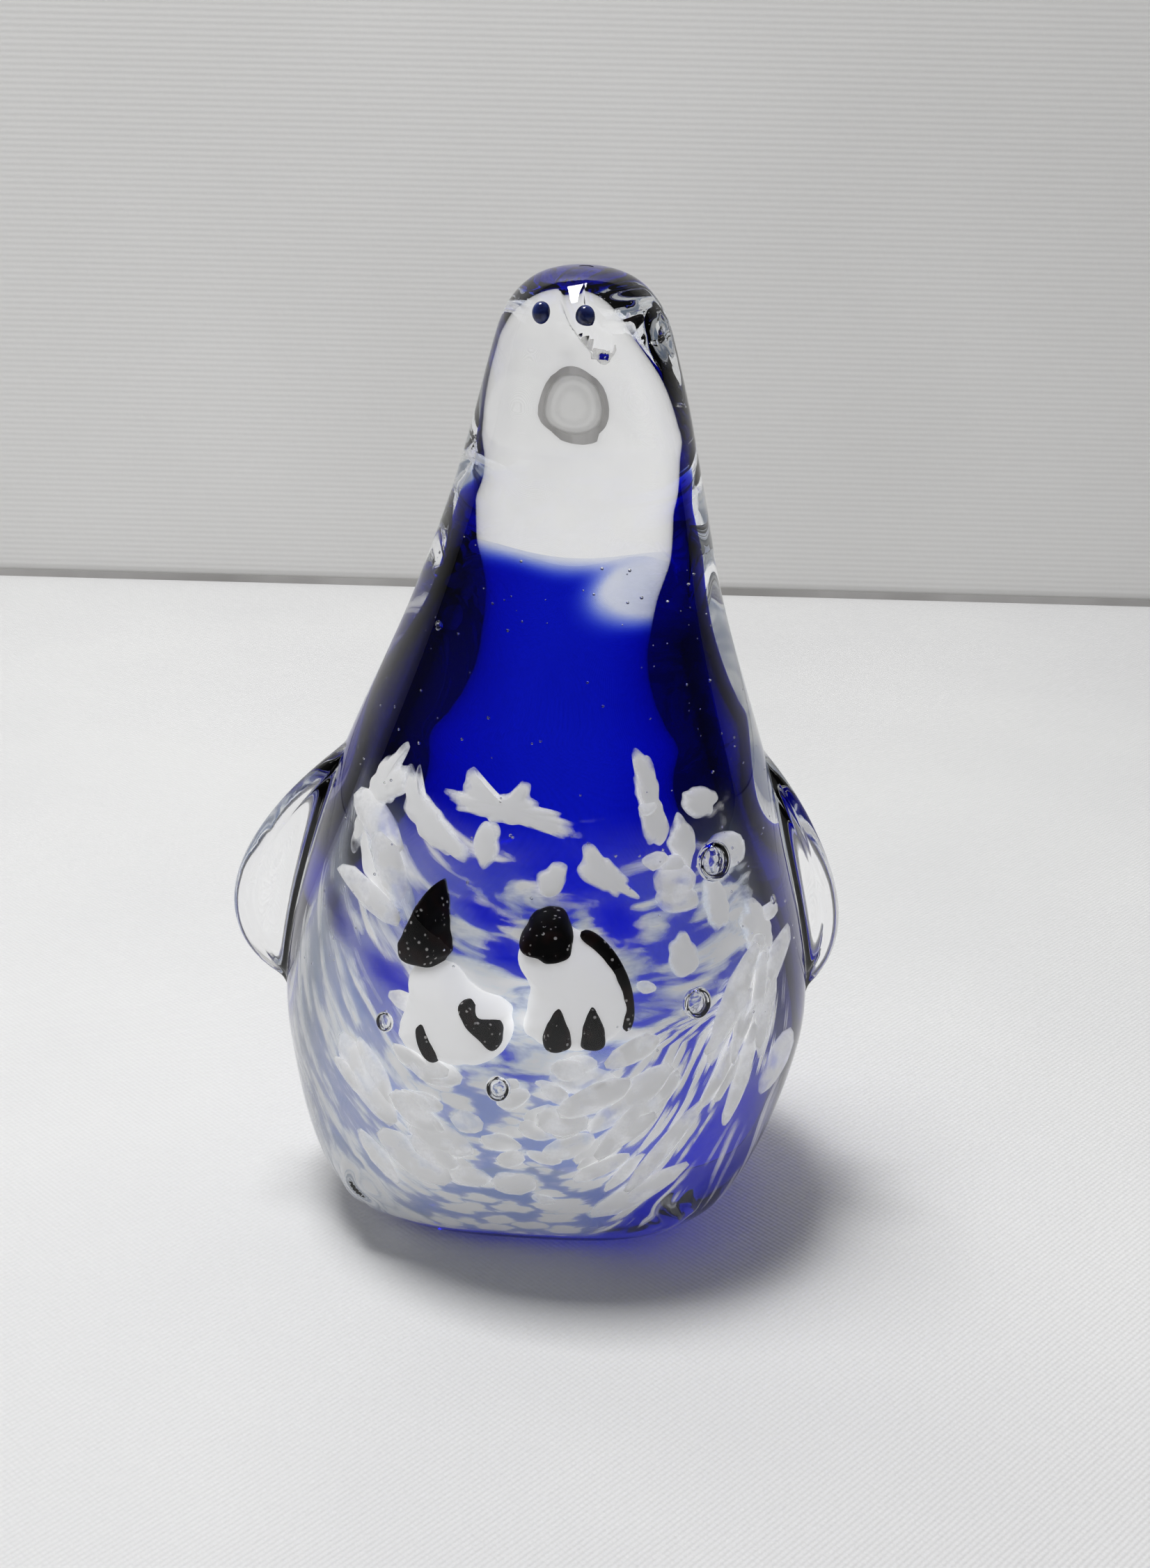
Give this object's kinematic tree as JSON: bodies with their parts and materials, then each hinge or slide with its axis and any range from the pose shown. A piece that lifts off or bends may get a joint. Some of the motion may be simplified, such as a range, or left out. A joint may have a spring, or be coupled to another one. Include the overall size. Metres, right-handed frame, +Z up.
{
  "type": "glass penguin paperweight",
  "caption": "Solid glass penguin with a tapering clear body, cobalt blue core, white snow and lampwork chicks inside, side fins and a flat ground base.",
  "frame": {"origin": "middle of the flat ground base", "axes": "+Z up from the base to the crown, the face towards -Y, +X to the right of someone who looks at the face"},
  "size_m": [0.0957, 0.0716, 0.15],
  "materials": {
    "clear_glass": "polished clear glass",
    "cobalt_glass": "polished transparent cobalt glass",
    "white_glass": "opaque white glass",
    "black_glass": "opaque black glass with fine bubbles",
    "navy_glass": "dark blue glass"
  },
  "bodies": {
    "root": {"clear_casing": "clear_glass", "clear_core": "clear_glass", "cobalt_wrap": "cobalt_glass", "snow_bed": "white_glass", "white_flake_01": "white_glass", "white_flake_02": "white_glass", "white_flake_03": "white_glass", "white_flake_04": "white_glass", "white_flake_05": "white_glass", "white_flake_06": "white_glass", "white_flake_07": "white_glass", "white_flake_08": "white_glass", "white_flake_09": "white_glass", "white_flake_10": "white_glass", "white_flake_11": "white_glass", "white_flake_12": "white_glass", "white_flake_13": "white_glass", "left_chick_body": "white_glass", "left_chick_head": "black_glass", "left_chick_near_flipper": "black_glass", "left_chick_far_flipper": "black_glass", "right_chick_body": "white_glass", "right_chick_head": "black_glass", "right_chick_back_stripe": "black_glass", "right_chick_left_foot": "black_glass", "right_chick_right_foot": "black_glass", "left_wing": "clear_glass", "right_wing": "clear_glass", "beak": "clear_glass", "left_eye": "navy_glass", "right_eye": "navy_glass", "left_foot": "clear_glass", "right_foot": "clear_glass"}
  },
  "joints": []
}
